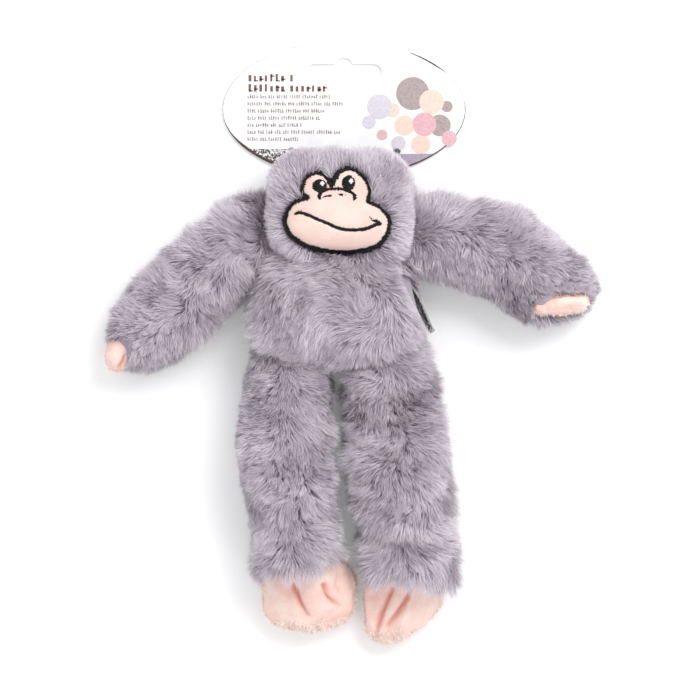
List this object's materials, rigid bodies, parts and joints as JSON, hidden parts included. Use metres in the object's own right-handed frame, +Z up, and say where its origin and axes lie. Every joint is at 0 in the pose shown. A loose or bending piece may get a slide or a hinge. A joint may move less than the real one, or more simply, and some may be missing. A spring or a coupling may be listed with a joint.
{
  "type": "stuffed monkey",
  "caption": "Small stuffed monkey of long-pile plush with pink hands and feet, an embroidered face, and an oval hang card pinned behind its head.",
  "frame": {"origin": "under the middle of the whole object's box, on the surface that it lies on", "axes": "+Z up out of the belly and face, +Y towards the head and hang card, +X towards the monkey's own left arm"},
  "size_m": [0.1983, 0.2541, 0.0493],
  "materials": {
    "fur": "long soft pile, lilac grey",
    "pink_plush": "short velvet pile, pale pink",
    "face_fabric": "short smooth pile, pale peach",
    "black_thread": "satin stitch, slight sheen",
    "white_thread": "satin stitch",
    "filling": "loose polyester fibre",
    "squeaker_plastic": "soft moulded plastic",
    "label_satin": "woven satin tape with plain printed bars",
    "card": "coated white board, printed",
    "pin_plastic": "grey nylon"
  },
  "bodies": {
    "torso": {"torso_front": "fur", "torso_back": "fur", "torso_filling": "filling", "squeaker_bulb": "squeaker_plastic", "squeaker_reed": "squeaker_plastic", "side_label": "label_satin"},
    "head": {"head_front": "fur", "head_back": "fur", "head_filling": "filling", "face_patch": "face_fabric", "face_border": "black_thread", "eye_right": "black_thread", "eye_left": "black_thread", "eye_glints": "white_thread", "nose_stitching": "black_thread", "mouth_stitching": "black_thread", "tag_pin_right": "pin_plastic", "tag_pin_left": "pin_plastic"},
    "card": {"hang_card": "card"},
    "right_upper_arm": {"right_upper_arm_sleeve": "fur", "right_upper_arm_filling": "filling"},
    "right_forearm": {"right_forearm_sleeve": "fur", "right_forearm_filling": "filling"},
    "right_hand": {"right_hand_back": "fur", "right_palm": "pink_plush", "right_hand_filling": "filling"},
    "right_thigh": {"right_thigh_sleeve": "fur", "right_thigh_filling": "filling"},
    "right_shin": {"right_shin_sleeve": "fur", "right_shin_filling": "filling"},
    "right_foot": {"right_foot_top": "pink_plush", "right_foot_sole": "pink_plush", "right_foot_filling": "filling"},
    "left_upper_arm": {"left_upper_arm_sleeve": "fur", "left_upper_arm_filling": "filling"},
    "left_forearm": {"left_forearm_sleeve": "fur", "left_forearm_filling": "filling"},
    "left_hand": {"left_hand_back": "fur", "left_palm": "pink_plush", "left_hand_filling": "filling"},
    "left_thigh": {"left_thigh_sleeve": "fur", "left_thigh_filling": "filling"},
    "left_shin": {"left_shin_sleeve": "fur", "left_shin_filling": "filling"},
    "left_foot": {"left_foot_top": "pink_plush", "left_foot_sole": "pink_plush", "left_foot_filling": "filling"}
  },
  "joints": [
    {"name": "neck_nod", "type": "hinge", "parent": "torso", "child": "head", "pos_m": [-0.00556, 0.03962, 0.03], "axis": [1, 0, 0], "range_deg": [0, 25]},
    {"name": "card_swing", "type": "hinge", "parent": "head", "child": "card", "pos_m": [-0.00305, 0.08012, 0.0004], "axis": [1, 0, 0], "range_deg": [0, 30]},
    {"name": "right_shoulder", "type": "hinge", "parent": "torso", "child": "right_upper_arm", "pos_m": [-0.04206, 0.04362, 0.0155], "axis": [0, 0, -1], "range_deg": [-20, 30]},
    {"name": "right_elbow", "type": "hinge", "parent": "right_upper_arm", "child": "right_forearm", "pos_m": [-0.06732, 0.02087, 0.0145], "axis": [-0.6884, 0.7254, 0], "range_deg": [0, 50]},
    {"name": "right_wrist", "type": "hinge", "parent": "right_forearm", "child": "right_hand", "pos_m": [-0.08146, 0.00673, 0.014], "axis": [-0.6884, 0.7254, 0], "range_deg": [0, 35]},
    {"name": "left_shoulder", "type": "hinge", "parent": "torso", "child": "left_upper_arm", "pos_m": [0.03095, 0.04362, 0.0155], "axis": [0, 0, 1], "range_deg": [-20, 30]},
    {"name": "left_elbow", "type": "hinge", "parent": "left_upper_arm", "child": "left_forearm", "pos_m": [0.06394, 0.0354, 0.0145], "axis": [-0.4384, -0.8988, 0], "range_deg": [0, 50]},
    {"name": "left_wrist", "type": "hinge", "parent": "left_forearm", "child": "left_hand", "pos_m": [0.0797, 0.02309, 0.014], "axis": [-0.4848, -0.8746, 0], "range_deg": [0, 35]},
    {"name": "right_hip", "type": "hinge", "parent": "torso", "child": "right_thigh", "pos_m": [-0.02506, -0.00138, 0.0165], "axis": [-1, 0, 0], "range_deg": [0, 40]},
    {"name": "right_knee", "type": "hinge", "parent": "right_thigh", "child": "right_shin", "pos_m": [-0.02812, -0.04527, 0.017], "axis": [-0.9997, -0.0262, 0], "range_deg": [0, 45]},
    {"name": "right_ankle", "type": "hinge", "parent": "right_shin", "child": "right_foot", "pos_m": [-0.02264, -0.08993, 0.015], "axis": [-0.9848, -0.1736, 0], "range_deg": [0, 30]},
    {"name": "left_hip", "type": "hinge", "parent": "torso", "child": "left_thigh", "pos_m": [0.01395, -0.00638, 0.0165], "axis": [-1, 0, 0], "range_deg": [0, 40]},
    {"name": "left_knee", "type": "hinge", "parent": "left_thigh", "child": "left_shin", "pos_m": [0.01931, -0.05005, 0.017], "axis": [-0.9925, -0.1219, 0], "range_deg": [0, 45]},
    {"name": "left_ankle", "type": "hinge", "parent": "left_shin", "child": "left_foot", "pos_m": [0.02479, -0.09471, 0.015], "axis": [-0.9998, -0.0175, 0], "range_deg": [0, 30]}
  ]
}
